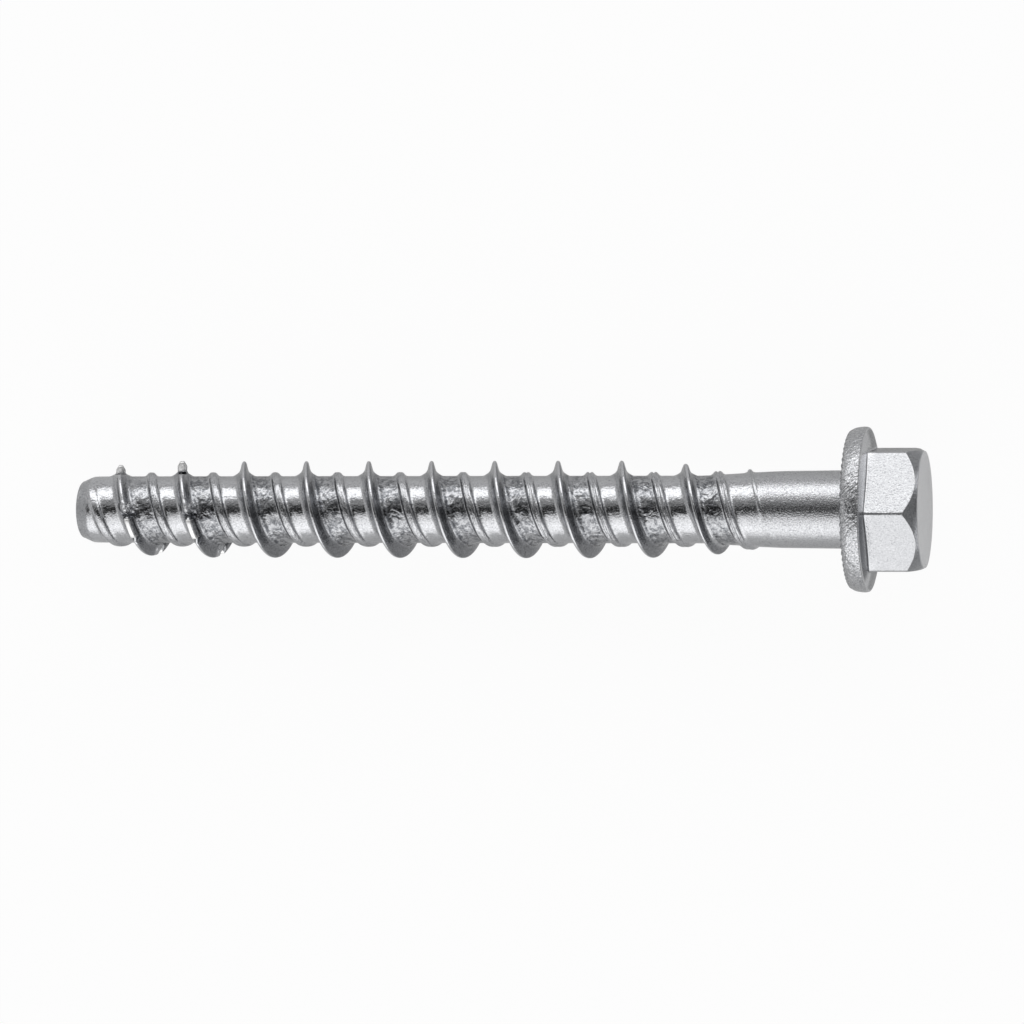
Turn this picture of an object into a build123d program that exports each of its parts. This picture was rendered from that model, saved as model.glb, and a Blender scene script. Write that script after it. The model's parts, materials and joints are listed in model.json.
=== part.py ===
from build123d import *
from math import atan2, cos, degrees, pi, radians, sin, tan
import os

os.makedirs("parts", exist_ok=True)

# A concrete screw for a 10 mm hole, with a 15 mm hexagon on a flange.
# Lengths are in mm, angles in degrees. Distances "along" the screw run on its axis
# from the bearing face under the flange, positive towards the tip.

# Shank, core and tip
screw_length = 100.0
core_r = 4.28
neck_start = 19.0
neck_middle = 13.0
neck_r = 4.55
shank_r = 4.92
shank_middle = 6.8
shank_middle_r = 4.85
tip_chamfer = 1.65
tip_edge = 0.35
tip_edge_r = 3.5
tip_face_r = 3.1

# Main thread: a coarse right-hand ridge, shaped like a blade with a flared foot
pitch = 8.22
crest_r = 6.19
first_crest = 94.9
# Corners down the blade's side: the radius, and the distance from its crest along the screw
blade_side = [(crest_r, 0.0), (6.03, 0.25), (5.05, 0.54), (4.57, 0.95), (4.2, 1.6)]
# Turns from the first crest: where the thread starts, and where it begins to sink
thread_start = -0.5
sinking_start = 8.4
sinking_end = 9.6
sinking_fall = 0.57

# On its last turn the blade sinks into the neck
sunk_side = [(5.62, 0.0), (5.46, 0.25), (3.6, 0.8)]
sunk_start = 9.5
sunk_end = 10.4
sunk_fall = 1.12

# Low ridge, on the side opposite the main thread
low_side = [(4.82, 0.0), (4.2, 0.8)]
low_sinking_start = 9.0
low_end = 10.0
low_fall = 0.28

# The ridges are rooted inside the core
root_r = 3.8
sunk_root_r = 3.2

# The first turns are cut down towards the tip, to these radii at these turns, by a ring
run_in = [(4.18, -0.42), (5.03, -0.20), (5.70, 0.0), (5.96, 0.5), (6.70, 2.1)]
ring_end = 102.0
ring_inner_r = 3.0
ring_outer_r = 8.0

# Cutting pins, set into the crest of the first two turns: a bevelled blank, which stands
# over the crest until its top is ground down to a little above the thread
pin_turns = [0.0, 0.32, 0.60, 1.0, 1.32, 1.60]
pin_length = 2.8
pin_width = 1.2
pin_top_width = 0.5
pin_bevel = 0.85
pin_blank = 0.3
pin_proud = 0.04
pin_seat_r = 4.58

# Slot across the crest ahead of each pin, its depth from the crest
slot_length = 1.0
slot_width = 2.0
slot_depth = 1.25

# Head: a hexagon with a bevelled end face, which starts inside the flange
head_height = 9.5
hexagon_flats = 15.0
hexagon_turn = -4.0
hexagon_foot = 2.0
face_r = 7.3
bevel_angle = 39.0
flange_r = 10.41
flange_widest = 1.9
# The flange's outline, as (radius, height over the bearing face)
flange_outline = [
    (9.55, 0.0),
    (9.9, 0.14),
    (10.19, 0.65),
    (10.34, 1.2),
    (flange_r, flange_widest),
    (10.34, 2.42),
    (10.2, 2.66),
    (8.07, 3.26),
    (6.8, 4.3),
]

# At rest the screw lies on its flange and on the crest at this turn
rest_turn = 0.75
rest_crest_r = 6.07

# The lean of the axis at rest, and the plane square to it at the bearing face:
# x points up and away from the ground, z runs along the axis towards the tip
rest_along = first_crest - pitch * rest_turn
lean = atan2(flange_r - rest_crest_r, rest_along + flange_widest)
bearing_height = flange_r * cos(lean) - flange_widest * sin(lean)
front_x = head_height * cos(lean) + face_r * sin(lean)
back_x = -screw_length * cos(lean) - tip_face_r * sin(lean)
bearing_plane = Plane(
    origin=(-(front_x + back_x) / 2, 0, bearing_height),
    x_dir=(-sin(lean), 0, cos(lean)),
    z_dir=(-cos(lean), 0, -sin(lean)),
)
screw_axis = Axis(bearing_plane.origin, bearing_plane.z_dir)
# The half section: x is the distance from the axis, y runs towards the tip
half_section = Plane(
    origin=bearing_plane.origin,
    x_dir=bearing_plane.x_dir,
    z_dir=-bearing_plane.y_dir,
)


def along(turn):
    return first_crest - pitch * turn


def outward(turn):
    """Direction from the axis to the main thread's crest at this turn."""
    angle = radians(90 - 360 * turn)
    return bearing_plane.x_dir * cos(angle) + bearing_plane.y_dir * sin(angle)


def axis_point(turn):
    return bearing_plane.from_local_coords((0, 0, along(turn)))


def ridge(side, start, end, root=root_r, fall=0.0, opposite=False):
    """A ridge with these corners down its side, wound round the screw between two turns."""
    out = -outward(start) if opposite else outward(start)
    square_plane = Plane(origin=axis_point(start), x_dir=out, z_dir=-bearing_plane.z_dir)
    axial_plane = Plane(origin=axis_point(start), x_dir=out, z_dir=out.cross(bearing_plane.z_dir))
    length = (end - start) * pitch
    with BuildLine() as helix:
        Helix(pitch, length, root, cone_angle=-degrees(atan2(fall, length)))
    half = [*side, (root, side[-1][1])]
    with BuildSketch(axial_plane) as section:
        Polygon(*half, *[(r, -y) for r, y in reversed(half) if y > 0], align=None)
    path = square_plane.from_local_coords(helix.line)
    sweep(section.sketch, path=path, is_frenet=True)


def cut_run_in():
    """Turn a ridge's first turns down towards the tip."""
    with BuildSketch(half_section) as ring:
        Polygon(
            (ring_outer_r, ring_end),
            (ring_inner_r, ring_end),
            *[(r, along(turn)) for r, turn in run_in],
            (ring_outer_r, along(run_in[-1][1])),
            align=None,
        )
    revolve(ring.sketch, axis=screw_axis, mode=Mode.SUBTRACT)


def crest_radius(turn):
    """The main thread's radius on the first turns."""
    for (r_a, turn_a), (r_b, turn_b) in zip(run_in, run_in[1:]):
        if turn_a <= turn <= turn_b:
            return min(crest_r, r_a + (r_b - r_a) * (turn - turn_a) / (turn_b - turn_a))
    return crest_r


def pin_plane(turn, back):
    """Plane across the crest at a pin, this far ahead of its middle: x outwards, z backwards."""
    crest = axis_point(turn) + outward(turn) * crest_radius(turn)
    across = bearing_plane.z_dir.cross(outward(turn))
    backwards = (across * (-2 * pi * crest_r) - bearing_plane.z_dir * pitch).normalized()
    return Plane(origin=crest - backwards * back, x_dir=outward(turn), z_dir=backwards)


def make_pin(turn):
    """A bevelled bar along the crest, its top ground round with the thread."""
    crest_here = crest_radius(turn)
    seat = pin_seat_r - crest_here
    with BuildPart() as pin:
        with BuildSketch(pin_plane(turn, pin_length / 2)):
            Polygon(
                (seat, -pin_width / 2),
                (pin_blank - pin_bevel, -pin_width / 2),
                (pin_blank, -pin_top_width / 2),
                (pin_blank, pin_top_width / 2),
                (pin_blank - pin_bevel, pin_width / 2),
                (seat, pin_width / 2),
                align=None,
            )
        extrude(amount=pin_length)
        with BuildSketch(bearing_plane.offset(along(turn) - pitch / 2)):
            Circle(crest_here + pin_proud)
        extrude(amount=pitch, mode=Mode.INTERSECT)
    return pin.part


pins = [make_pin(turn) for turn in pin_turns]

with BuildPart() as main_thread:
    ridge(blade_side, thread_start, sinking_start)
    ridge(blade_side, sinking_start, sinking_end, fall=sinking_fall)
    ridge(sunk_side, sunk_start, sunk_end, sunk_root_r, sunk_fall)
    cut_run_in()

with BuildPart() as low_ridge:
    ridge(low_side, thread_start, low_sinking_start, opposite=True)
    cut_run_in()

with BuildPart() as low_run_out:
    ridge(low_side, low_sinking_start, low_end, fall=low_fall, opposite=True)

with BuildPart() as screw_body:
    # Hexagon, its end face bevelled by a cone
    with BuildSketch(bearing_plane.offset(-head_height)):
        RegularPolygon(hexagon_flats / 2, 6, major_radius=False, rotation=hexagon_turn)
    extrude(amount=head_height - hexagon_foot)
    with BuildSketch(half_section):
        Polygon(
            (0, -head_height),
            (face_r, -head_height),
            (flange_r, -head_height + (flange_r - face_r) * tan(radians(bevel_angle))),
            (flange_r, 0),
            (0, 0),
            align=None,
        )
    revolve(axis=screw_axis, mode=Mode.INTERSECT)

    # Flange, shank, neck, core and bevelled tip
    with BuildSketch(half_section):
        with BuildLine():
            Polyline(
                *[(r, -height) for r, height in flange_outline],
                (0, -flange_outline[-1][1]),
                (0, screw_length),
                (tip_face_r, screw_length),
                (tip_edge_r, screw_length - tip_edge),
                (core_r, screw_length - tip_chamfer),
                (core_r, neck_start),
                (neck_r, neck_middle),
                (shank_middle_r, shank_middle),
                (shank_r, 0),
                close=True,
            )
        make_face()
    revolve(axis=screw_axis)

    add(main_thread.part)

    # Seats for the cutting pins, and the slot ahead of each
    for turn, pin in zip(pin_turns, pins):
        add(pin, mode=Mode.SUBTRACT)
        with BuildSketch(pin_plane(turn, pin_length / 2 + slot_length)):
            with Locations((-slot_depth, 0)):
                Rectangle(slot_depth + pin_blank, slot_width, align=(Align.MIN, Align.CENTER))
        extrude(amount=slot_length, mode=Mode.SUBTRACT)

    add(low_ridge.part)
    add(low_run_out.part)

screw_body.part.label = "screw_body"
export_step(screw_body.part, "parts/screw_body.step")
for number, pin in enumerate(pins, start=1):
    pin.label = f"cutting_pin_{number}"
    export_step(pin, f"parts/{pin.label}.step")
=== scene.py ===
import json
import math

import bpy
import numpy as np
from mathutils import Matrix, Vector


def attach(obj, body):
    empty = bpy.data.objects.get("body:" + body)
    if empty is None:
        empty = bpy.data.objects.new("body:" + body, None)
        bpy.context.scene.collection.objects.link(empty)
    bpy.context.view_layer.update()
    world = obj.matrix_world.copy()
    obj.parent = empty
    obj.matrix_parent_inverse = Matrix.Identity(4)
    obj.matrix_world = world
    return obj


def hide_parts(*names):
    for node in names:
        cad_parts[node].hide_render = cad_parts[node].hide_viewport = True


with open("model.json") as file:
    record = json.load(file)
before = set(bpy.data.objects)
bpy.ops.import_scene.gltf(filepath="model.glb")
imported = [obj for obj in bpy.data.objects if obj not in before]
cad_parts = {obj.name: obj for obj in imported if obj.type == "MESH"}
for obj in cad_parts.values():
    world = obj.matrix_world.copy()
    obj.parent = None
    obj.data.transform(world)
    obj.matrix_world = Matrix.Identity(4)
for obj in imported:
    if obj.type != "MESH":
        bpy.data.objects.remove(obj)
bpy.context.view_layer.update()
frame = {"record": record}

# A concrete screw: a threaded shank, a flanged hexagon head, and six cutting pins set into
# the thread's crest. Lengths are in mm and angles in degrees, unless a name says otherwise.
# "Along" is a distance on the screw's axis, from the bearing face towards the tip.
MM = 0.001

# The screw's own axes, from the middle of its bearing face: z runs towards the tip, x points
# up to the camera's side, and y is the row frame's y. The mount's own point lies beside the
# axis, so its y is left out.
bearing = next(m for m in frame["record"]["mounts"] if m["name"] == "bearing_face")
tipward = Vector(bearing["axis"]).normalized()
sideways = Vector((0.0, 1.0, 0.0))
upward = sideways.cross(tipward)
bearing_centre = Vector((bearing["pos_m"][0], 0.0, bearing["pos_m"][2]))

# Shank, core and tip: the radius at a distance along the screw
SCREW_LENGTH = 99.995
CORE_R = 4.275
BODY_PROFILE = [
    (-1.5, 4.92),
    (0.0, 4.92),
    (4.8, 4.875),
    (7.6, 4.845),
    (11.6, 4.70),
    (14.2, 4.535),
    (15.2, 4.48),
    (19.1, CORE_R),
    (98.2, CORE_R),
]
TIP_CHAMFER = 1.65
TIP_EDGE_R = 3.5
TIP_FACE_R = TIP_EDGE_R * 0.9
TIP_SOFTNESS = 0.12
TIP_ROUND = 0.35
TIP_ROUND_INWARDS = 0.58

# Thread: a blade on one side, and a low ridge half a turn from it
PITCH = 8.22
FIRST_CREST = 94.9
CREST_R = 6.19
BLADE_HEIGHT = CREST_R - CORE_R
LOW_HEIGHT = 0.505
# Height over the core at points along the thread, in turns from the first crest
MAIN_HEIGHT = [
    (-0.45, 0.0),
    (-0.20, 0.8),
    (0.0, 1.42),
    (0.5, 1.68),
    (0.75, 1.78),
    (1.0, BLADE_HEIGHT),
    (8.3, BLADE_HEIGHT),
    (8.6, 1.76),
    (9.0, 1.5),
    (9.5, 1.3),
    (10.0, 0.45),
    (10.3, 0.06),
    (10.6, 0.0),
]
LOW_RIDGE_HEIGHT = [
    (-0.45, 0.0),
    (-0.2, LOW_HEIGHT),
    (9.6, LOW_HEIGHT),
    (10.0, 0.45),
    (10.35, 0.05),
    (10.5, 0.0),
]
# Share of the height at a distance from the ridge's middle, along the screw
BLADE_PROFILE = [
    (0.0, 1.0),
    (0.12, 0.985),
    (0.23, 0.93),
    (0.34, 0.80),
    (0.40, 0.665),
    (0.475, 0.535),
    (0.54, 0.40),
    (0.69, 0.27),
    (1.04, 0.125),
    (1.6, 0.0),
]
LOW_PROFILE = [
    (0.0, 1.0),
    (0.32, 0.93),
    (0.5, 0.66),
    (0.68, 0.27),
    (0.88, 0.05),
    (1.05, 0.0),
]
# Where the blade sinks into the neck, over these turns, it falls off faster by this share
NARROWING = 0.9
NARROWING_TURNS = (9.0, 9.8)
# A groove on top of the low ridge, which deepens over these turns
GROOVE_WIDTH = 0.13
GROOVE_DEPTH = 0.35
GROOVE_TURNS = (5.0, 7.5)

# Mesh of the threaded shank: as many columns round it as the thread has rows in a turn, where
# those rows begin, the longer step before them, and how the rows crowd at the two ridges
COLUMNS = 88
THREAD_END = 7.0
SHANK_STEP = 0.5
CREST_CROWDING = (0.3, 0.35)
CROWDING_STARTS = (THREAD_END, THREAD_END + 3)
CROWDING_ENDS = (95.5, 98)
TIP_FACE_SHARES = (0.8, 0.6, 0.4, 0.2)

# Parts that the shank's material tells apart. A pair is where a part fades in or out, and two
# pairs are both. "Across" is a distance from the middle of a ridge.
ROLLED_ACROSS = (0.7, 1.1), (3.1, 3.6)
ROLLED_TURNS = (-0.5, 0.5), (9.2, 10.2)
# Painted shade on the thread's flanks: the height and the reach across where it lies
FLANK_HEIGHT = (0.12, 0.5)
FLANK_ACROSS = (0.8, 0.9)
CREST_LINE_AT = 0.05
CREST_LINE_ACROSS = (0.08, 0.2)
CREST_LINE_HEIGHT = (0.3, 0.8)
# Painted shade in the crease at the blade's foot, near the thread's two ends
FOOT_AT = 1.02
FOOT_HALF = 0.16
FOOT_TURNS = (-0.3, 0.2), (9.0, 9.6)
LOW_ACROSS = (0.54, 0.62)
LOW_TURNS = (-0.4, 0.0), (9.8, 10.1)
PLAIN_ENDS = (9.5, 13.5)

# Head: flange and hexagon
HEAD_HEIGHT = 9.5
HEX_FLATS = 15.0
HEX_TURN = -4.0
HEX_CORNER_ROUND = 0.08
HEX_FACE_R = 7.3
HEX_FOOT_ROUND = 0.16
# The rounded edge between a side and the bevel: how far down the side it begins, how far in
# it reaches, and its rise for each mm inwards
HEX_EDGE = 0.08
HEX_EDGE_INWARDS = 0.06
HEX_EDGE_RISE = 0.4
# The bevel round the end face: height over the bearing face at a radius
BEVEL_OUTLINE = [(7.3, 9.5), (7.36, 9.38), (7.5, 9.11), (7.9, 8.62), (8.66, 7.66), (9.2, 7.0)]
# The flange's rim: radius at a height over the bearing face
RIM_OUTLINE = [
    (0.0, 9.62),
    (0.14, 9.9),
    (0.39, 10.05),
    (0.65, 10.19),
    (1.2, 10.34),
    (1.9, 10.41),
    (2.3, 10.37),
    (2.43, 10.31),
    (2.49, 10.22),
]
# The cone above the rim: height at a radius
CONE_OUTLINE = [(10.22, 2.49), (8.9, 2.86), (6.8, 3.0)]
SERRATIONS = 62
SERRATION_DEPTH = 0.12
SERRATION_STARTS = (7.0, 9.4)
# How far in the serrations' ends and the wear reach on the rim
SCALLOP_DEPTH = 0.07
WEAR_DEPTH = 0.03
# Where the head's rings lie: radii on the bearing face, then shares of the way over each part
BEARING_RADII = (4.6, 5.4, 6.6, 7.6, 8.4, 9.0, 9.45)
RIM_SHARES = (
    0.0, 0.03, 0.06, 0.1, 0.15, 0.22, 0.3, 0.4,
    0.5, 0.6, 0.7, 0.8, 0.88, 0.94, 0.975, 1.0,
)
CONE_SHARES = (0.1, 0.3, 0.5, 0.7, 0.85, 0.94)
SIDE_SHARES = (0.01, 0.2, 0.4, 0.6, 0.8, 0.92, 0.975)
BEVEL_SHARES = (0.3, 0.6, 0.85, 0.95)
FACE_SHARES = (0.985, 0.95, 0.85, 0.7, 0.5, 0.3, 0.15)
# How far the bevel, the end face's edge and the face itself stay under their full height, and
# how far outside the face's radius the bevel's last ring and the edge's ring lie
BEVEL_DROP = 0.03
FACE_EDGE_DROP = 0.035
FACE_DROP = 0.02
BEVEL_END = HEX_FACE_R + 0.05
FACE_EDGE_R = HEX_FACE_R + 0.02

# Parts that the head's material tells apart. Angles run round the screw from the camera's
# side. A dark reflection is painted on the cone from one corner of the hexagon to the next and
# at its outline, and on the hexagon's far side. Shade is painted round the hexagon's foot, most
# on its lower side, and on the bevel.
RIM_RADIUS = (9.5, 9.9)
RIM_HEIGHT = (2.3, 2.48)
CONE_RADIUS = (10.1, 10.2)
CONE_HEIGHT = (2.3, 2.5)
CONE_FROM_HEXAGON = (0.1, 0.3)
FOOT_FROM_HEXAGON = (0.0, 0.01), (0.1, 0.25)
BEVEL_RADIUS = (FACE_EDGE_R, HEX_FACE_R + 0.06)
BEVEL_FROM_EDGE = (0.03, 0.055)
BEVEL_HEIGHT = (7.0, 7.4)
SIDE_HEIGHT = (3.0, 3.2)
PAINTED_REFLECTION_CONE_ANGLES = (-2, 8), (56, 68)
PAINTED_REFLECTION_OUTLINE_ANGLES = (70, 84)
PAINTED_REFLECTION_SIDE_ANGLES = (57, 60), (112, 116)
PAINTED_FOOT_SHADE_ANGLES = (-2, 6)

# Cutting pins: bars along the crest, by the turn of their middle
PIN_TURNS = [0.0, 0.32, 0.60, 1.0, 1.32, 1.60]
PIN_LENGTH = 2.8
# Half of a pin's section: distance from its middle, and height over the crest
PIN_HALF = [
    (0.0, 0.045),
    (0.17, 0.045),
    (0.25, 0.025),
    (0.285, -0.03),
    (0.42, -0.25),
    (0.55, -0.46),
    (0.6, -0.55),
    (0.6, -0.8),
    (0.6, -1.25),
]
PIN_CENTRE = (0.0, -0.6)
# Rings at a pin's end: how far in from it, and the section's size there
PIN_EDGE = 0.07
PIN_END_RINGS = [
    (0.0, 0.12),
    (0.0, 0.5),
    (PIN_EDGE * 0.3, 0.8),
    (PIN_EDGE, 0.94),
    (PIN_EDGE * 2, 1.0),
]
# The rings between the ends: the first, the last and their number
PIN_MIDDLE_RINGS = (-0.85, 0.85, 5)
# The ground face, by its height over the crest, and how bright the painted highlight on the last
# rings' back end is
PIN_FACE_HEIGHT = (-0.06, -0.01)
PIN_BACK_RINGS = 4
PAINTED_PIN_BACK_HIGHLIGHT = 0.8
# The notch ahead of a pin, the weld ahead of the notch and the slit behind the pin: by their
# distance along the crest from the pin's middle, and half their length and width
NOTCH_AT = -1.85
NOTCH_HALF = (0.38, 0.8)
NOTCH_DEPTH = 1.25
WELD_AT = -3.0
WELD_HALF = (0.8, 0.95)
SLIT_AT = 1.62
SLIT_HALF = (0.26, 0.6)
SLIT_SHARE = 0.6
# A weld's lump: how far it stays under the crest, how it falls off, and how rough it is
LUMP_DROP = 0.2
LUMP_FALL = 0.75
LUMP_ROUGHNESS = 0.08
# Behind the pins at these turns the crest is ground flat, at this distance from the axis and
# between these distances from the pin's end, but not below this height over the body
RELIEF_TURNS = [0.0, 1.0]
RELIEF_HEIGHT = 4.5
RELIEF_REACH = (-0.2, 4.2)
RELIEF_FLOOR = 0.2


def curve(x, points):
    """Smooth curve through the points, with no overshoot, at each x."""
    xs, ys = np.array(points, float).T
    step = np.diff(xs)
    slope = np.diff(ys) / step
    tangent = np.zeros_like(xs)
    same = slope[1:] * slope[:-1] > 0
    blend = 2 * slope[1:] * slope[:-1] / np.where(same, slope[1:] + slope[:-1], 1)
    tangent[1:-1] = np.where(same, blend, 0)
    x = np.clip(x, xs[0], xs[-1])
    i = np.clip(np.searchsorted(xs, x, side="right") - 1, 0, len(step) - 1)
    t = (x - xs[i]) / step[i]
    h = step[i]
    return (
        ys[i] * (1 + 2 * t) * (1 - t) ** 2
        + ys[i + 1] * t**2 * (3 - 2 * t)
        + h * tangent[i] * t * (1 - t) ** 2
        - h * tangent[i + 1] * t**2 * (1 - t)
    )


def ease(x, start, end):
    """0 before start, 1 after end, smooth between."""
    t = np.clip((x - start) / (end - start), 0, 1)
    return t * t * (3 - 2 * t)


def window(x, rise, fall):
    """1 between the rise and the fall, 0 outside them, and smooth on each, from start to end."""
    return ease(x, *rise) * (1 - ease(x, *fall))


def hump(x, middle, half_width, power=4):
    """1 at the middle, and near 0 from the half width on."""
    return np.exp(-(np.abs((x - middle) / half_width) ** power))


def ripple(along, angle, seed, length, around, waves=14):
    """Even noise of about unit size: waves of this length along the screw and around it."""
    random = np.random.default_rng(seed)
    total = np.zeros(np.broadcast(along, angle).shape)
    for _ in range(waves):
        turns = random.integers(-around, around + 1)
        rate = random.normal() * 2 * math.pi / length
        total += np.cos(rate * along + turns * np.radians(angle) + random.uniform(0, 2 * math.pi))
    return total * math.sqrt(2 / waves)


def thread_place(along, angle):
    """(turn of the nearest main crest, distance from it along the screw) at a point."""
    phase = (FIRST_CREST - along) / PITCH - (90 - angle) / 360
    turns = np.round(phase)
    return turns + (90 - angle) / 360, (turns - phase) * PITCH


def to_row(points):
    """Points in mm in the screw's own axes, to metres in the row frame."""
    axes = np.array([upward, sideways, tipward])
    return (np.asarray(points, float) * MM) @ axes + np.array(bearing_centre)


def ring_points(radius, angle, along):
    """Points in the screw's own axes at these radii, angles and distances along the screw."""
    a = np.radians(angle)
    radius, a, along = np.broadcast_arrays(radius, a, along)
    return np.stack([radius * np.cos(a), radius * np.sin(a), along], axis=-1)


def ring_places(rings):
    """(radius, angle, distance along the screw) of each ring point, as flat lists."""
    x, y, z = (rings[..., axis].ravel() for axis in range(3))
    return np.hypot(x, y), np.degrees(np.arctan2(y, x)), z


def ring_mesh(name, rings, first_centre, last_centre, triangles=False):
    """A closed mesh through rings of points, capped by a centre point at each end."""
    rows, columns, _ = rings.shape
    points = np.concatenate([rings.reshape(-1, 3), [first_centre, last_centre]])
    index = np.arange(rows * columns).reshape(rows, columns)
    after = np.roll(index, -1, axis=1)
    a, b, c, d = index[:-1], after[:-1], after[1:], index[1:]
    if triangles:
        faces = [np.stack([a, b, c], -1).reshape(-1, 3), np.stack([a, c, d], -1).reshape(-1, 3)]
    else:
        faces = [np.stack([a, b, c, d], -1).reshape(-1, 4)]
    first = rows * columns
    caps = [
        np.stack([after[0], index[0], np.full(columns, first)], -1),
        np.stack([index[-1], after[-1], np.full(columns, first + 1)], -1),
    ]
    mesh = bpy.data.meshes.new(name)
    face_list = [face for group in faces + caps for face in group.tolist()]
    mesh.from_pydata(to_row(points).tolist(), [], face_list)
    mesh.shade_smooth()
    piece = bpy.data.objects.new(name, mesh)
    bpy.context.scene.collection.objects.link(piece)
    return piece


def set_masks(piece, masks):
    """Values at the piece's ring points, by name, for its material: 0 at the centre points."""
    for name, values in masks.items():
        data = piece.data.attributes.new(name, "FLOAT", "POINT").data
        data.foreach_set("value", np.append(values, [0.0, 0.0]).astype(np.float32))


# The threaded shank


def body_radius(along):
    """Radius without the ridges: shank, neck, core and the tip's bevel."""
    bevel_start = SCREW_LENGTH - TIP_CHAMFER
    bevel = CORE_R - (along - bevel_start) * (CORE_R - TIP_EDGE_R) / TIP_CHAMFER
    plain = curve(along, BODY_PROFILE)
    return 0.5 * (plain + bevel - np.sqrt((plain - bevel) ** 2 + TIP_SOFTNESS**2))


def crest_distance(turn, pin_turn):
    """Distance along the crest from a pin's middle, positive behind it."""
    return (turn - pin_turn) * 2 * math.pi * CREST_R


def weld_marks(turn, offset):
    """(weld, cut) near the pins: 1 on the welds, and 1 in the notches and slits."""
    weld, cut = np.zeros_like(offset), np.zeros_like(offset)
    for pin_turn in PIN_TURNS:
        place = crest_distance(turn, pin_turn)
        near_weld = hump(place, WELD_AT, WELD_HALF[0]) * hump(offset, 0, WELD_HALF[1])
        notch = hump(place, NOTCH_AT, NOTCH_HALF[0]) * hump(offset, 0, NOTCH_HALF[1])
        slit = SLIT_SHARE * hump(place, SLIT_AT, SLIT_HALF[0]) * hump(offset, 0, SLIT_HALF[1])
        weld = np.maximum(weld, near_weld)
        cut = np.maximum(np.maximum(cut, notch), slit)
    return weld, cut


def is_relieved(turn):
    """Whether the crest is ground away here, behind a pin."""
    start, end = (PIN_LENGTH / 2 + reach for reach in RELIEF_REACH)
    relieved = np.zeros_like(turn, bool)
    for pin_turn in RELIEF_TURNS:
        place = crest_distance(turn, pin_turn)
        relieved |= (place > start) & (place < end)
    return relieved


def blade_relief(along, angle):
    """Height of the main thread over the body, with its welds, cuts and ground flats."""
    turn, offset = thread_place(along, angle)
    narrowing = 1 + NARROWING * ease(turn, *NARROWING_TURNS)
    height = curve(turn, MAIN_HEIGHT)
    blade = height * curve(np.abs(offset) * narrowing, BLADE_PROFILE)
    weld, cut = weld_marks(turn, offset)
    lump = height - LUMP_DROP - LUMP_FALL * np.abs(offset) ** 2
    lump = lump + LUMP_ROUGHNESS * ripple(along, angle, seed=5, length=0.9, around=22)
    blade = np.where(weld > 0.05, np.maximum(blade, np.minimum(lump, height) * weld), blade)
    blade = blade - cut * np.minimum(NOTCH_DEPTH, np.maximum(blade, 0))
    flat = RELIEF_HEIGHT / np.maximum(np.sin(np.radians(angle)), 0.1) - body_radius(along)
    return np.where(is_relieved(turn), np.minimum(blade, np.maximum(flat, RELIEF_FLOOR)), blade)


def low_relief(along, angle):
    """Height of the low ridge over the body, with its groove."""
    turn, offset = thread_place(along, angle + 180)
    groove = GROOVE_DEPTH * ease(turn, *GROOVE_TURNS) * hump(offset, 0, GROOVE_WIDTH, 2)
    return curve(turn, LOW_RIDGE_HEIGHT) * (curve(np.abs(offset), LOW_PROFILE) - groove)


def shank_radius(along, angle):
    """Radius of the threaded shank at a place on it."""
    blade = np.maximum(blade_relief(along, angle), 0)
    low = np.maximum(low_relief(along, angle), 0)
    return body_radius(along) + blade + low


def shank_grid(angle):
    """Distances along the screw of the shank's ring points. The thread's rows and columns are
    spaced so that the mesh's diagonals run along the thread, and crowd at the crests."""
    row = PITCH / COLUMNS
    last_row = FIRST_CREST - PITCH / 4 - math.ceil((FIRST_CREST - THREAD_END) / row) * row
    count = int((SCREW_LENGTH - TIP_ROUND - last_row) / row) + 1
    thread_rows = last_row + row * np.arange(count)
    shank_rows = np.arange(last_row - SHANK_STEP, BODY_PROFILE[0][0], -SHANK_STEP)[::-1]
    along = np.concatenate([shank_rows, thread_rows])[:, None] + 0 * angle
    phase = 2 * math.pi * ((FIRST_CREST - along) / PITCH - (90 - angle) / 360)
    once, twice = CREST_CROWDING
    crowd = PITCH / (2 * math.pi) * (once * np.sin(phase) + twice / 2 * np.sin(2 * phase))
    return along + crowd * window(along, CROWDING_STARTS, CROWDING_ENDS)


def tip_rings(angle, last_along):
    """The tip's rounded edge, and the rings of its end face."""
    rings = []
    for step in range(1, 6):
        turn = math.radians(18 * step)
        radius = shank_radius(last_along, angle) - TIP_ROUND_INWARDS * (1 - math.cos(turn))
        along = last_along + (SCREW_LENGTH - last_along[0]) * math.sin(turn)
        rings.append(ring_points(radius, angle, along))
    for share in TIP_FACE_SHARES:
        rings.append(ring_points(TIP_FACE_R * share, angle, SCREW_LENGTH))
    return rings


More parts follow.
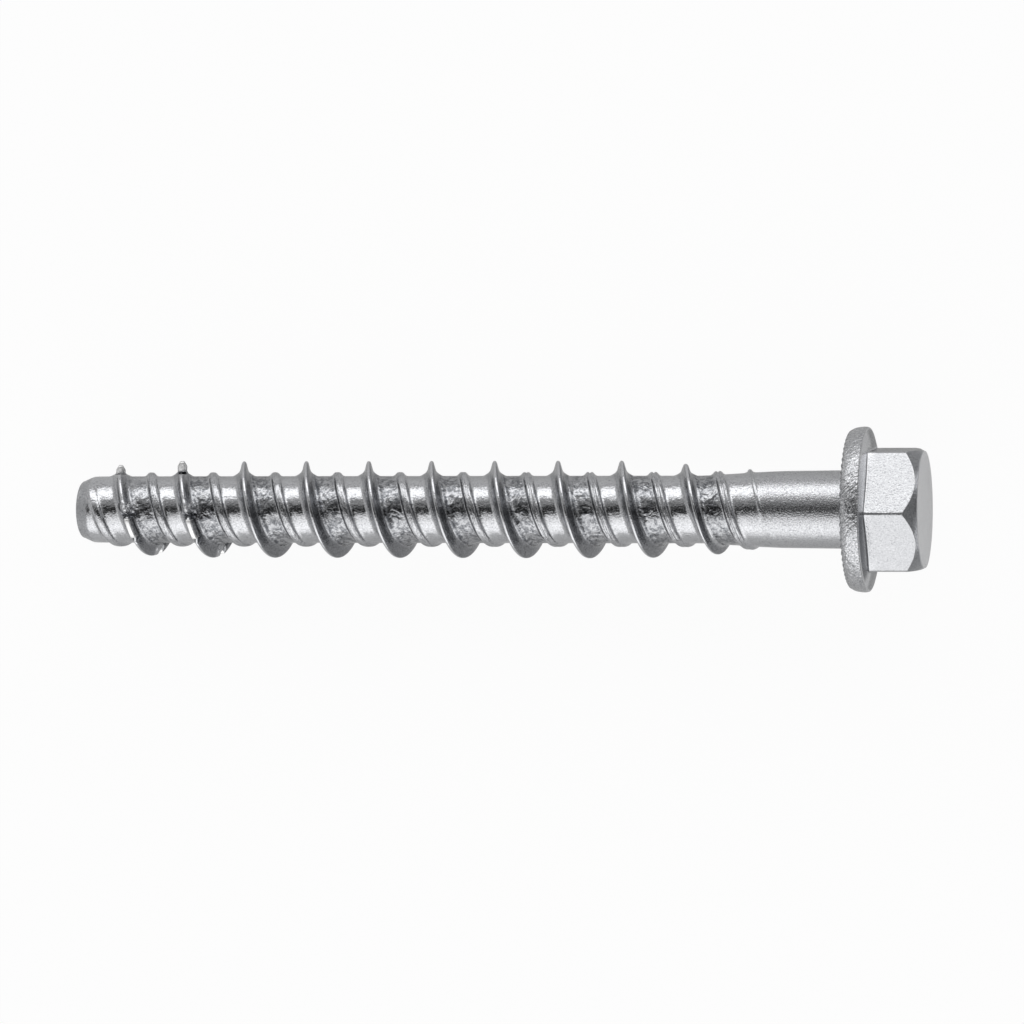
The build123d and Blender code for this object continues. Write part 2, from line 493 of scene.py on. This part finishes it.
def shank_masks(rings):
    """The parts of the shank that its material tells apart, as values at the ring points."""
    radius, angle, along = ring_places(rings)
    turn, offset = thread_place(along, angle)
    low_turn, low_offset = thread_place(along, angle + 180)
    off_crest, off_low = np.abs(offset), np.abs(low_offset)
    headwards = -offset
    height = radius - body_radius(along)
    tip_edge = SCREW_LENGTH - TIP_CHAMFER
    # The flanks' painted shade, less of it on the tip's side
    tip_flank = 0.6 * (1 - ease(height, 1.5, 1.85))
    painted_flank_shade = ease(height, *FLANK_HEIGHT) * (1 - ease(off_crest, *FLANK_ACROSS))
    crest = 1 - ease(np.abs(offset - CREST_LINE_AT), *CREST_LINE_ACROSS)
    weld, cut = weld_marks(turn, offset)
    return {
        "low": (1 - ease(off_low, *LOW_ACROSS)) * window(low_turn, *LOW_TURNS),
        "low_across": low_offset,
        "low_along": low_turn * 2 * math.pi * CORE_R,
        "weld": weld,
        # The notches and slits are painted dark as shade
        "cut": cut,
        # Painted shade at the blade's foot
        "foot": hump(off_crest, FOOT_AT, FOOT_HALF, 2) * window(turn, *FOOT_TURNS),
        "rolled": window(headwards, *ROLLED_ACROSS) * window(turn, *ROLLED_TURNS),
        "painted_flank_shade": painted_flank_shade * np.where(offset > 0, tip_flank, ease(headwards, 0.03, 0.16)),
        "crest": crest * ease(curve(turn, MAIN_HEIGHT), *CREST_LINE_HEIGHT),
        "plain": 1 - ease(along, *PLAIN_ENDS),
        "tip": ease(along, tip_edge - 0.2, tip_edge + 0.2),
    }


def make_shank():
    """Tip, thread and shank in one."""
    angle = np.arange(COLUMNS) * 360 / COLUMNS
    along = shank_grid(angle)
    rings = ring_points(shank_radius(along, angle), angle, along)
    rings = np.concatenate([rings, np.array(tip_rings(angle, along[-1]))])
    centres = (0, 0, along[0, 0]), (0, 0, SCREW_LENGTH)
    piece = ring_mesh("threaded_shank", rings, *centres, triangles=True)
    set_masks(piece, shank_masks(rings))
    return piece


# The cutting pins


def make_pin(number, pin_turn):
    """A ground bar along the crest, its edges a little rounded."""
    crest = CORE_R + float(curve(pin_turn, MAIN_HEIGHT))
    half = np.array(PIN_HALF)
    outline = np.concatenate([half[::-1] * (-1, 1), half[1:]])
    centre = np.array(PIN_CENTRE)
    steps = [(-PIN_LENGTH / 2 + inset, share) for inset, share in PIN_END_RINGS]
    steps += [(place, 1.0) for place in np.linspace(*PIN_MIDDLE_RINGS)]
    steps += [(PIN_LENGTH / 2 - inset, share) for inset, share in reversed(PIN_END_RINGS)]
    rings = []
    for place, share in steps:
        turn = pin_turn + place / (2 * math.pi * crest)
        section = centre + (outline - centre) * share
        along = FIRST_CREST - PITCH * turn + section[:, 0]
        rings.append(ring_points(crest + section[:, 1], 90 - 360 * turn, along))
    rings = np.array(rings)
    centres = [tuple(ring.mean(axis=0)) for ring in (rings[0], rings[-1])]
    piece = ring_mesh(f"pin_{number}", rings, *centres)
    heights = np.broadcast_to(outline[:, 1], rings.shape[:2]).ravel()
    # The back end is painted bright as a highlight
    back = np.where(np.arange(len(steps)) < len(steps) - PIN_BACK_RINGS, 0.0, PAINTED_PIN_BACK_HIGHLIGHT)
    face = np.maximum(ease(heights, *PIN_FACE_HEIGHT), np.repeat(back, len(outline)))
    set_masks(piece, {"face": face})
    return piece


# The head


def head_columns():
    """Angles round the head, closer together at the hexagon's corners."""
    steps = np.concatenate([np.arange(-4, 4, 0.5), np.arange(4, 56, 1.3)])
    return (np.arange(6)[:, None] * 60 + HEX_TURN + steps).ravel()


def hex_radius(angle):
    """Radius of the hexagon, with rounded corners."""
    from_face = (angle - HEX_TURN) % 60 - 30
    flat = HEX_FLATS / 2 / np.cos(np.radians(from_face))
    corner = HEX_FLATS / 2 / math.cos(math.pi / 6) - HEX_CORNER_ROUND
    soft = HEX_CORNER_ROUND * 0.6
    return 0.5 * (flat + corner - np.sqrt((flat - corner) ** 2 + soft**2)) + HEX_CORNER_ROUND * 0.1


def cone_height(radius):
    """Height of the flange's cone over the bearing face."""
    xs, ys = np.array(CONE_OUTLINE[::-1]).T
    return np.interp(radius, xs, ys)


def flange_rings(angle):
    """The bearing face from inside the shank outwards, and round the rim."""
    teeth = 0.5 - 0.5 * np.cos(np.radians(angle * SERRATIONS))
    wear = 0.5 + 0.25 * ripple(0, angle, seed=8, length=1.0, around=40)
    rings = []
    for radius in BEARING_RADII:
        height = SERRATION_DEPTH * teeth * ease(radius, *SERRATION_STARTS)
        rings.append(ring_points(radius, angle, -height))
    for share in RIM_SHARES:
        height = RIM_OUTLINE[-1][0] * share
        scallop = teeth * (1 - ease(height, 0.1, 0.9))
        radius = curve(height, RIM_OUTLINE) - SCALLOP_DEPTH * scallop - WEAR_DEPTH * wear
        notch = SERRATION_DEPTH * scallop * (1 - ease(height, 0.0, 0.5))
        rings.append(ring_points(radius, angle, -(height + notch)))
    return rings


def cone_rings(angle, hexagon):
    """The flange's cone, and the small round at the hexagon's foot."""
    rim_r = RIM_OUTLINE[-1][1]
    foot_r = hexagon + HEX_FOOT_ROUND
    foot = cone_height(foot_r)
    rings = []
    for share in CONE_SHARES:
        radius = rim_r * (1 - share) + foot_r * share
        rings.append(ring_points(radius, angle, -cone_height(radius)))
    for step in range(6):
        turn = math.radians(18 * step)
        radius = hexagon + HEX_FOOT_ROUND * (1 - math.sin(turn))
        rings.append(ring_points(radius, angle, -(foot + HEX_FOOT_ROUND * (1 - math.cos(turn)))))
    return rings


def hexagon_rings(angle, hexagon):
    """Up the hexagon's sides, over their rounded edge and the bevel, and in on the end face."""
    foot = cone_height(hexagon + HEX_FOOT_ROUND) + HEX_FOOT_ROUND
    top = curve(hexagon, BEVEL_OUTLINE)
    rings = []
    for share in SIDE_SHARES:
        rings.append(ring_points(hexagon, angle, -(foot + (top - HEX_EDGE - foot) * share)))
    for step in range(4):
        share = step / 3
        inwards = HEX_EDGE_INWARDS * share**2
        height = top - HEX_EDGE * (1 - share) + inwards * HEX_EDGE_RISE
        rings.append(ring_points(hexagon - inwards, angle, -height))
    for share in BEVEL_SHARES:
        radius = (hexagon - HEX_EDGE_INWARDS) * (1 - share) + BEVEL_END * share
        rings.append(ring_points(radius, angle, -(curve(radius, BEVEL_OUTLINE) - BEVEL_DROP)))
    rings.append(ring_points(FACE_EDGE_R, angle, -(HEAD_HEIGHT - FACE_EDGE_DROP)))
    for share in FACE_SHARES:
        rings.append(ring_points(HEX_FACE_R * share, angle, -(HEAD_HEIGHT - FACE_DROP * share)))
    return rings


def head_masks(rings, hexagon):
    """The parts of the head that its material tells apart, as values at the ring points."""
    radius, angle, along = ring_places(rings)
    height = -along
    below = -angle
    hexagon = np.broadcast_to(hexagon, rings.shape[:2]).ravel()
    beyond = radius - hexagon
    side = (1 - ease(np.abs(beyond), 0.01, 0.05)) * ease(height, *SIDE_HEIGHT)
    # Painted shade in the round at the hexagon's foot, darker on the lower side, and on the bevel
    foot = window(beyond, *FOOT_FROM_HEXAGON) * ease(height, 0.3, 0.5)
    bevel = ease(radius, *BEVEL_RADIUS) * ease(-beyond, *BEVEL_FROM_EDGE)
    cone = (1 - ease(radius, *CONE_RADIUS)) * ease(beyond, *CONE_FROM_HEXAGON)
    cone = cone * ease(height, *CONE_HEIGHT)
    # Painted dark reflection: on the cone on the lower side and at its outline, and on the
    # hexagon's far side
    outline = 0.8 * ease(np.abs(angle), *PAINTED_REFLECTION_OUTLINE_ANGLES)
    painted_cone_reflection = cone * np.maximum(window(below, *PAINTED_REFLECTION_CONE_ANGLES), outline)
    painted_side_reflection = 0.55 * side * window(angle, *PAINTED_REFLECTION_SIDE_ANGLES)
    return {
        "side": side,
        "rim": ease(radius, *RIM_RADIUS) * (1 - ease(height, *RIM_HEIGHT)),
        "bevel": bevel * ease(height, *BEVEL_HEIGHT),
        "foot": foot * (0.3 + 0.7 * ease(below, *PAINTED_FOOT_SHADE_ANGLES)),
        "painted_dark_reflection": np.maximum(painted_cone_reflection, painted_side_reflection),
    }


def make_head():
    """Flange and hexagon in one, in rings from the end face down and in to the shank."""
    angle = head_columns()
    hexagon = hex_radius(angle)
    rings = flange_rings(angle) + cone_rings(angle, hexagon) + hexagon_rings(angle, hexagon)
    rings = np.array(rings[::-1])
    piece = ring_mesh("hexagon_head", rings, (0, 0, -HEAD_HEIGHT), (0, 0, 0))
    set_masks(piece, head_masks(rings, hexagon))
    return piece


# Materials


class Tree:
    """Short forms for a node tree's nodes and links."""

    def __init__(self, tree):
        self.tree = tree

    def node(self, kind, settings=None, **inputs):
        node = self.tree.nodes.new("ShaderNode" + kind)
        for name, value in (settings or {}).items():
            setattr(node, name, value)
        for name, value in inputs.items():
            self.feed(node.inputs[name.replace("_", " ")], value)
        return node

    def feed(self, socket, value):
        if isinstance(value, bpy.types.NodeSocket):
            self.tree.links.new(value, socket)
        else:
            socket.default_value = value

    def math(self, operation, a, b=0.0, c=0.0, clamp=False):
        node = self.tree.nodes.new("ShaderNodeMath")
        node.operation = operation
        node.use_clamp = clamp
        for socket, value in zip(node.inputs, (a, b, c)):
            self.feed(socket, value)
        return node.outputs[0]

    def times(self, a, b):
        return self.math("MULTIPLY", a, b)

    def add(self, total, value, weight, clamp=False):
        """The total, with the value times its weight added."""
        return self.math("MULTIPLY_ADD", value, weight, total, clamp)

    def ease(self, value, start, end):
        """0 before start, 1 after end, smooth between."""
        node = self.node("MapRange", {"interpolation_type": "SMOOTHSTEP"}, Value=value)
        self.feed(node.inputs["From Min"], start)
        self.feed(node.inputs["From Max"], end)
        return node.outputs["Result"]

    def ramp(self, value, stops):
        """Grey levels at the stops (value, level), in order, smooth between."""
        first, last = stops[0][0], stops[-1][0]
        share = self.math("DIVIDE", self.math("SUBTRACT", value, first), last - first)
        node = self.node("ValToRGB", Fac=share)
        node.color_ramp.interpolation = "EASE"
        elements = node.color_ramp.elements
        for _ in stops[2:]:
            elements.new(0.5)
        for element, (at, level) in zip(elements, stops):
            element.position = (at - first) / (last - first)
            element.color = (level, level, level, 1.0)
        return node.outputs["Color"]

    def mix(self, share, low, high):
        """A colour between two, by the share."""
        node = self.node("Mix", {"data_type": "RGBA"})
        self.feed(node.inputs[0], share)
        self.feed(node.inputs[6], low)
        self.feed(node.inputs[7], high)
        return node.outputs[2]

    def noise(self, size, detail, stretch=None, roughness=0.5, distortion=0.0, place=None):
        """Noise about 0.5, with features of this size in mm."""
        place = place or self.node("TexCoord").outputs["Object"]
        if stretch:
            place = self.node("Mapping", Vector=place, Scale=stretch).outputs["Vector"]
        node = self.node("TexNoise", Vector=place, Scale=1 / (size * MM), Detail=detail)
        self.feed(node.inputs["Roughness"], roughness)
        self.feed(node.inputs["Distortion"], distortion)
        return node.outputs["Fac"]

    def mask(self, name):
        """The values that set_masks gave the piece under this name."""
        return self.node("Attribute", {"attribute_name": name}).outputs["Fac"]

    def bump(self, height, depth, normal=None):
        """Raised by up to depth in mm where height is 1."""
        node = self.node("Bump", Height=height, Strength=1.0, Distance=depth * MM)
        if normal:
            self.feed(node.inputs["Normal"], normal)
        return node.outputs["Normal"]


STEEL = (0.525, 0.53, 0.545, 1.0)
HEAD_STEEL = (0.62, 0.625, 0.64, 1.0)
DARK_STEEL = (0.10, 0.105, 0.115, 1.0)
GROUND_STEEL = (0.80, 0.80, 0.80, 1.0)


def new_material(name, metallic=0.0):
    """(material, short forms for its tree, its shader)."""
    material = bpy.data.materials.new(name)
    material.use_nodes = True
    shader = material.node_tree.nodes["Principled BSDF"]
    shader.inputs["Metallic"].default_value = metallic
    return material, Tree(material.node_tree), shader


def shank_darkness(tree, streak):
    """How dark the shank is: stains where it was rolled, clean welds, a worn crest, and painted
    shade on the flanks, the blade's foot and the notches.
    """
    patch = tree.ease(tree.noise(0.7, detail=3, roughness=0.6, distortion=0.8), 0.40, 0.60)
    fleck = tree.ease(tree.noise(0.35, detail=3, roughness=0.6), 0.56, 0.68)
    speck = tree.math("SUBTRACT", tree.noise(0.19, detail=1), 0.4)
    streaks = tree.times(tree.ease(streak, 0.46, 0.62), tree.mask("low"))
    dark = tree.times(tree.mask("rolled"), tree.math("MULTIPLY_ADD", patch, 0.5, 0.2))
    dark = tree.add(dark, speck, 0.9)
    dark = tree.add(dark, fleck, 0.25)
    # Painted shade on the flanks
    dark = tree.add(dark, tree.mask("painted_flank_shade"), 0.55)
    dark = tree.add(dark, streaks, 0.35)
    # Painted shade at the blade's foot
    dark = tree.add(dark, tree.mask("foot"), 0.35)
    dark = tree.add(dark, tree.mask("tip"), 0.25)
    dark = tree.add(dark, tree.mask("plain"), 0.06)
    dark = tree.add(dark, tree.mask("weld"), -0.7)
    dark = tree.add(dark, tree.mask("crest"), -0.9)
    # Painted shade in the notches and slits
    return tree.add(dark, tree.mask("cut"), 2.0, clamp=True)


def shank_roughness(tree):
    """Smooth on the thread, and rougher on the plain shank and the tip."""
    rough = tree.math("MULTIPLY_ADD", tree.noise(1.6, detail=4), 0.1, 0.055)
    rough = tree.add(rough, tree.mask("plain"), 0.11)
    rough = tree.add(rough, tree.mask("rolled"), 0.03)
    return tree.add(rough, tree.mask("tip"), 0.2)


def shank_relief(tree, streak):
    """Crumples where it was rolled, streaks on the low ridge, weld spatter, and a fine grain
    over waves that the plain shank hardly has."""
    plain = tree.mask("plain")
    crumple = tree.noise(1.6, detail=2, distortion=0.7)
    spatter = tree.noise(0.5, detail=3, roughness=0.6)
    wave = tree.noise(1.2, detail=2, distortion=0.6)
    grain = tree.noise(0.2, detail=2, roughness=0.6)
    calm = tree.math("MULTIPLY_ADD", plain, -0.92, 1.0)
    coarser = tree.math("MULTIPLY_ADD", plain, 0.3, 1.0)
    normal = tree.bump(tree.times(crumple, tree.mask("rolled")), 0.22)
    normal = tree.bump(tree.times(streak, tree.mask("low")), 0.07, normal)
    normal = tree.bump(tree.times(spatter, tree.mask("weld")), 0.25, normal)
    normal = tree.bump(tree.times(wave, calm), 0.055, normal)
    return tree.bump(tree.times(grain, coarser), 0.034, normal)


def make_shank_steel():
    """Bright plated steel: dark and crumpled by the rolling on one side of the thread, cleaner
    elsewhere, and worn bright on the crest."""
    material, tree, shader = new_material("rolled_steel", metallic=1.0)
    along_ridge = tree.node("CombineXYZ", X=tree.mask("low_across"), Y=tree.mask("low_along"))
    place = along_ridge.outputs["Vector"]
    streak = tree.noise(130, detail=2, stretch=(1, 0.12, 1), roughness=0.6, place=place)
    tint = tree.mix(shank_darkness(tree, streak), STEEL, DARK_STEEL)
    tree.feed(shader.inputs["Base Color"], tint)
    tree.feed(shader.inputs["Roughness"], shank_roughness(tree))
    tree.feed(shader.inputs["Normal"], shank_relief(tree, streak))
    return material


def head_darkness(tree, cloud):
    """How dark the head is: painted shade on bevel and foot, painted dark reflection on cone and
    far side.
    """
    rim = tree.mask("rim")
    fleck = tree.ease(tree.noise(0.4, detail=3, roughness=0.6), 0.55, 0.72)
    speck = tree.math("SUBTRACT", tree.noise(0.2, detail=1), 0.42)
    speck = tree.times(speck, tree.math("MULTIPLY_ADD", rim, 1.0, 0.42))
    # The bevel and the foot are painted shade, and the cone and far side a painted dark reflection
    dark = tree.times(tree.mask("bevel"), 0.65)
    dark = tree.add(dark, rim, 0.2)
    dark = tree.add(dark, tree.mask("side"), 0.30)
    dark = tree.add(dark, tree.mask("foot"), 0.8)
    dark = tree.add(dark, tree.mask("painted_dark_reflection"), 1.0)
    dark = tree.add(dark, fleck, 0.1)
    dark = tree.add(dark, speck, 1.0)
    return tree.add(dark, cloud, 0.06, clamp=True)


def head_relief(tree):
    """Slanted scores and dimples on the rim, under a fine grain everywhere."""
    rim = tree.mask("rim")
    place = tree.node("TexCoord").outputs["Object"]
    turned = tree.node("Mapping", Vector=place, Rotation=(0, 0, math.radians(-45)))
    hatch = tree.noise(0.26, detail=2, stretch=(0.3, 1, 1), place=turned.outputs["Vector"])
    dimple = tree.noise(0.7, detail=2)
    grain = tree.noise(0.2, detail=2, roughness=0.6)
    normal = tree.bump(tree.times(hatch, rim), 0.11)
    normal = tree.bump(tree.times(dimple, rim), 0.12, normal)
    return tree.bump(grain, 0.042, normal)


def make_head_steel():
    """Satin plated steel with a fine grain, scored across the flange's rim."""
    material, tree, shader = new_material("forged_steel", metallic=1.0)
    cloud = tree.noise(1.2, detail=5)
    tint = tree.mix(head_darkness(tree, cloud), HEAD_STEEL, DARK_STEEL)
    tree.feed(shader.inputs["Base Color"], tint)
    tree.feed(shader.inputs["Roughness"], tree.math("MULTIPLY_ADD", cloud, 0.15, 0.12))
    tree.feed(shader.inputs["Normal"], head_relief(tree))
    return material


def make_pin_steel():
    """Hard steel: the ground face on top is bright, the back end is a painted highlight, and the
    sides are painted dark as shade.
    """
    material, tree, shader = new_material("ground_steel", metallic=1.0)
    face = tree.mask("face")
    stain = tree.ease(tree.noise(0.35, detail=3), 0.4, 0.65)
    # Painted shade on the sides; the top face and the painted highlight at the back end are bright
    dark = tree.math("MULTIPLY_ADD", face, -0.95, 0.75)
    dark = tree.add(dark, stain, 0.2, clamp=True)
    scratch = tree.noise(0.12, detail=2, stretch=(1, 0.2, 1))
    tree.feed(shader.inputs["Base Color"], tree.mix(dark, GROUND_STEEL, DARK_STEEL))
    tree.feed(shader.inputs["Roughness"], tree.math("MULTIPLY_ADD", face, 0.2, 0.25))
    tree.feed(shader.inputs["Normal"], tree.bump(scratch, 0.02))
    return material


# Camera of the photograph: a long lens, 12 degrees towards the head from square on
IMAGE = 1024
LENS_PX = 5400.0
CAMERA_TURN = 11.98
AIM_ALONG = 43.33
DISTANCE = 686.0
AXIS_ABOVE_CENTRE_PX = 2.5
SENSOR = 36.0


def make_camera():
    """The photo's camera, its axes in line with the screw's length and the row frame's y."""
    turn = math.radians(CAMERA_TURN)
    back = upward * math.cos(turn) - tipward * math.sin(turn)
    right = -tipward * math.cos(turn) - upward * math.sin(turn)
    target = bearing_centre + tipward * (AIM_ALONG * MM)
    data = bpy.data.cameras.new("camera")
    data.sensor_width = SENSOR
    data.lens = LENS_PX / IMAGE * SENSOR
    data.shift_y = -AXIS_ABOVE_CENTRE_PX / IMAGE
    data.clip_start = 0.01
    data.clip_end = 20.0
    camera = bpy.data.objects.new("camera", data)
    axes = Matrix((right, sideways, back)).transposed().to_4x4()
    camera.matrix_world = Matrix.Translation(target + back * (DISTANCE * MM)) @ axes
    bpy.context.scene.collection.objects.link(camera)
    bpy.context.scene.camera = camera


FLOOR_HALF = 3000.0
FLOOR_COLOR = (0.78, 0.78, 0.78, 1.0)
FLOOR_ROUGHNESS = 0.9
# How much of the floor's own lit colour, with its shadows, shows beside plain white
SHADOW_SHARE = 0.06
MIRRORED_SHADOW_SHARE = 0.9


def make_floor():
    """A white floor, which keeps a soft shadow of the screw."""
    half = FLOOR_HALF * MM
    mesh = bpy.data.meshes.new("floor")
    corners = [(-half, -half, 0), (half, -half, 0), (half, half, 0), (-half, half, 0)]
    mesh.from_pydata(corners, [], [(0, 1, 2, 3)])
    floor = bpy.data.objects.new("floor", mesh)
    bpy.context.scene.collection.objects.link(floor)
    material, tree, shader = new_material("white_floor")
    shader.inputs["Base Color"].default_value = FLOOR_COLOR
    shader.inputs["Roughness"].default_value = FLOOR_ROUGHNESS
    path = tree.node("LightPath")
    seen = tree.math("MAXIMUM", path.outputs["Is Camera Ray"], path.outputs["Is Transmission Ray"])
    share = tree.times(seen, 1 - SHADOW_SHARE)
    mirrored = tree.times(path.outputs["Is Glossy Ray"], 1 - MIRRORED_SHADOW_SHARE)
    white = tree.node("Emission", Strength=1.0)
    mix = tree.node("MixShader", Fac=tree.math("MAXIMUM", share, mirrored))
    tree.feed(mix.inputs[1], shader.outputs[0])
    tree.feed(mix.inputs[2], white.outputs[0])
    output = material.node_tree.nodes["Material Output"]
    tree.feed(output.inputs["Surface"], mix.outputs[0])
    mesh.materials.append(material)


# Studio light by its angle from straight above, round the screw's length: positive is the
# far side, where a long softbox stands, and negative is the near side
LIGHT_SCALE = 2.4
LIGHT_LEVELS = [
    (-180, 0.5),
    (-92, 0.5),
    (-86, 1.6),
    (-60, 1.85),
    (-34, 1.4),
    (-21, 1.0),
    (-16, 0.45),
    (-12, 0.02),
    (9, 0.02),
    (14, 0.36),
    (39, 0.46),
    (48, 2.25),
    (78, 2.1),
    (84, 0.25),
    (92, 0.25),
    (180, 0.5),
]
# Past the softboxes' ends: how far round towards the head or tip they reach, and the grey there
BOX_END = (0.55, 0.82)
HEAD_SIDE_LEVEL = 0.45
TIP_SIDE_LEVEL = 0.65


def make_world():
    """Softboxes along both sides of the screw, dark between them and grey past their ends."""
    world = bpy.data.worlds.new("studio")
    world.use_nodes = True
    tree = Tree(world.node_tree)
    direction = tree.node("TexCoord").outputs["Generated"]
    axes = tree.node("SeparateXYZ", Vector=direction)
    angle = tree.math("ARCTAN2", axes.outputs["Y"], axes.outputs["Z"])
    angle = tree.math("DEGREES", angle)
    level = tree.ramp(angle, [(at, value / LIGHT_SCALE) for at, value in LIGHT_LEVELS])
    for sign, grey in ((1, HEAD_SIDE_LEVEL), (-1, TIP_SIDE_LEVEL)):
        towards = tree.times(axes.outputs["X"], sign)
        end_level = (grey / LIGHT_SCALE,) * 3 + (1.0,)
        level = tree.mix(tree.ease(towards, *BOX_END), level, end_level)
    background = world.node_tree.nodes["Background"]
    tree.feed(background.inputs["Color"], level)
    background.inputs["Strength"].default_value = LIGHT_SCALE
    bpy.context.scene.world = world


def dress(piece, material, node):
    """Give the piece its material and its body in the frame, and hide the part of model.glb that
    it replaces.
    """
    piece.data.materials.append(material)
    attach(piece, "root")
    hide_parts(node)


shank = make_shank()
head = make_head()
dress(shank, make_shank_steel(), "screw_body")
dress(head, make_head_steel(), "screw_body")
pin_steel = make_pin_steel()
for number, pin_turn in enumerate(PIN_TURNS, start=1):
    dress(make_pin(number, pin_turn), pin_steel, f"cutting_pin_{number}")
make_camera()
make_floor()
make_world()
bpy.context.scene.view_settings.view_transform = "Standard"
